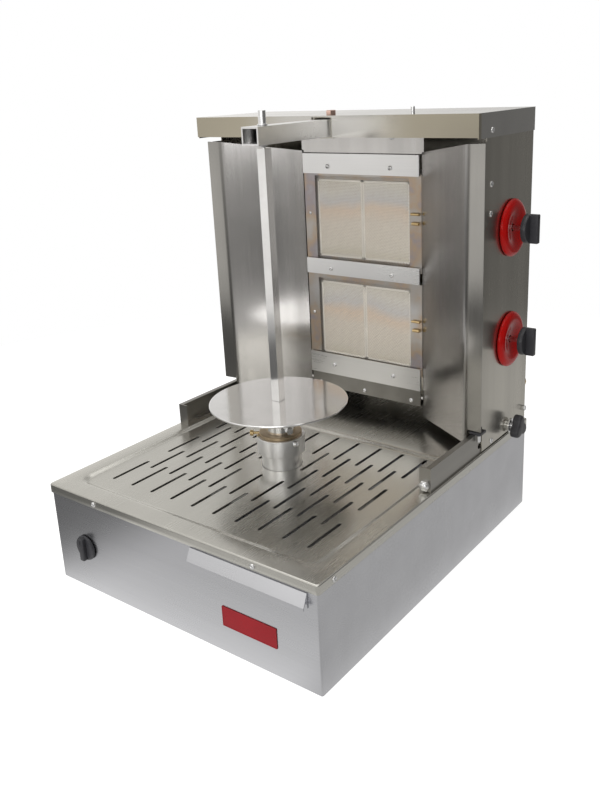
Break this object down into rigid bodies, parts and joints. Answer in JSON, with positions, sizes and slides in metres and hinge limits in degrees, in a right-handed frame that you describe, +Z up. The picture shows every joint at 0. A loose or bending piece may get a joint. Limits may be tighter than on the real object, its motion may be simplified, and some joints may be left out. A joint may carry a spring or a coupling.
{
  "type": "gas vertical rotisserie",
  "caption": "Countertop gas vertical rotisserie: a driven square skewer stands on a slotted tray in front of a sliding tower with two ceramic burners.",
  "frame": {"origin": "on the skewer's axis, at the underside of the base", "axes": "+Z up along the skewer, +X towards the gas knobs, -Y towards the front panel with the switch"},
  "size_m": [0.556, 0.6318, 0.685],
  "materials": {
    "inner_steel": "plain mill finish",
    "front_steel": "satin, brushed",
    "tray_steel": "bright rolled, smeared",
    "dark_steel": "satin, darkened",
    "tower_steel": "bright rolled",
    "wing_steel": "bright rolled, nearly a mirror",
    "strip_steel": "bright rolled",
    "tinted_steel": "straw and brown heat tint",
    "mesh_wire": "oxidised woven wire",
    "polished": "polished",
    "plated": "bright zinc and nickel plate",
    "gear_steel": "machined and greased",
    "cast": "die cast",
    "black_paint": "satin paint",
    "black_plastic": "moulded",
    "red_enamel": "gloss enamel",
    "bronze": "turned",
    "brass": "turned",
    "copper_bolt": "copper coloured plate",
    "ceramic": "porous honeycomb"
  },
  "bodies": {
    "base": {"bottom_panel": "inner_steel", "body_wrap": "front_steel", "rear_panel": "inner_steel", "name_plate": "red_enamel", "slotted_top": "tray_steel", "drain_apron": "inner_steel", "left_rail": "dark_steel", "right_rail": "dark_steel", "base_fasteners": "plated", "gearbox_case": "cast", "gearbox_lid": "cast", "motor": "black_paint", "spindle_housing": "polished", "lower_bush": "bronze", "upper_bush": "bronze", "bush_screws": "brass", "switch_body": "black_plastic", "cable_gland": "black_plastic", "drawer_runners": "inner_steel"},
    "drawer": {"grease_drawer": "front_steel"},
    "switch": {"switch_knob": "black_plastic"},
    "spindle": {"main_gear": "gear_steel", "drive_shaft": "gear_steel", "drive_hub": "polished", "hub_bolt": "plated", "skewer": "polished"},
    "disc": {"meat_disc": "polished", "disc_screw": "plated"},
    "pinion": {"motor_pinion": "gear_steel"},
    "tower": {"tower_side_left": "tower_steel", "tower_side_right": "tower_steel", "tower_back": "tower_steel", "hood": "tower_steel", "left_wing": "wing_steel", "right_wing": "wing_steel", "top_panel": "wing_steel", "burner_strips": "strip_steel", "lower_crossbar": "dark_steel", "upper_burner_box": "tinted_steel", "lower_burner_box": "tinted_steel", "upper_tiles": "ceramic", "lower_tiles": "ceramic", "upper_mesh": "mesh_wire", "lower_mesh": "mesh_wire", "thermocouples": "brass", "gas_manifold": "brass", "gas_valves": "brass", "injector_pipes": "brass", "knob_bezels": "red_enamel", "glides": "black_plastic", "tower_fasteners": "plated", "arm_guide": "tower_steel"},
    "arm": {"arm_tube": "strip_steel"},
    "clamp_bolt": {"arm_clamp_bolt": "copper_bolt"},
    "pin": {"top_pin": "plated"},
    "upper_stem": {"upper_valve_stem": "plated"},
    "lower_stem": {"lower_valve_stem": "plated"},
    "upper_knob": {"upper_gas_knob": "black_plastic"},
    "lower_knob": {"lower_gas_knob": "black_plastic"},
    "lock": {"lock_knob": "black_plastic"}
  },
  "joints": [
    {"name": "drawer_slide", "type": "slide", "parent": "base", "child": "drawer", "axis": [0, -1, 0], "range_m": [0, 0.3]},
    {"name": "switch_turn", "type": "hinge", "parent": "base", "child": "switch", "pos_m": [-0.183, -0.25, 0.07], "axis": [0, -1, 0], "range_deg": [0, 90]},
    {"name": "skewer_spin", "type": "hinge", "parent": "base", "child": "spindle", "pos_m": [0, 0, 0.2], "axis": [0, 0, 1], "continuous": true},
    {"name": "motor_spin", "type": "hinge", "parent": "base", "child": "pinion", "pos_m": [-0.095, 0, 0.036], "axis": [0, 0, 1], "continuous": true},
    {"name": "disc_height", "type": "slide", "parent": "spindle", "child": "disc", "axis": [0, 0, 1], "range_m": [0, 0.25]},
    {"name": "tower_slide", "type": "slide", "parent": "base", "child": "tower", "axis": [0, -1, 0], "range_m": [0, 0.1]},
    {"name": "arm_slide", "type": "slide", "parent": "tower", "child": "arm", "axis": [0, -1, 0], "range_m": [-0.1, 0]},
    {"name": "pin_lift", "type": "slide", "parent": "arm", "child": "pin", "axis": [0, 0, 1], "range_m": [0, 0.045]},
    {"name": "arm_clamp_turn", "type": "hinge", "parent": "tower", "child": "clamp_bolt", "pos_m": [0, 0.164, 0.67], "axis": [0, 0, 1], "range_deg": [0, 360]},
    {"name": "upper_push", "type": "slide", "parent": "tower", "child": "upper_stem", "axis": [-1, 0, 0], "range_m": [0, 0.004], "stiffness_N_per_m": 800, "springref_m": -0.004},
    {"name": "lower_push", "type": "slide", "parent": "tower", "child": "lower_stem", "axis": [-1, 0, 0], "range_m": [0, 0.004], "stiffness_N_per_m": 800, "springref_m": -0.004},
    {"name": "upper_turn", "type": "hinge", "parent": "upper_stem", "child": "upper_knob", "pos_m": [0.28, 0.273, 0.496], "axis": [1, 0, 0], "range_deg": [0, 180]},
    {"name": "lower_turn", "type": "hinge", "parent": "lower_stem", "child": "lower_knob", "pos_m": [0.28, 0.273, 0.32], "axis": [1, 0, 0], "range_deg": [0, 180]},
    {"name": "lock_turn", "type": "hinge", "parent": "tower", "child": "lock", "pos_m": [0.27, 0.2785, 0.1714], "axis": [1, 0, 0], "range_deg": [0, 360]}
  ],
  "couplings": [
    {"joint": "motor_spin", "follows": "skewer_spin", "ratio": -3.75},
    {"joint": "arm_slide", "follows": "tower_slide", "ratio": -1}
  ]
}
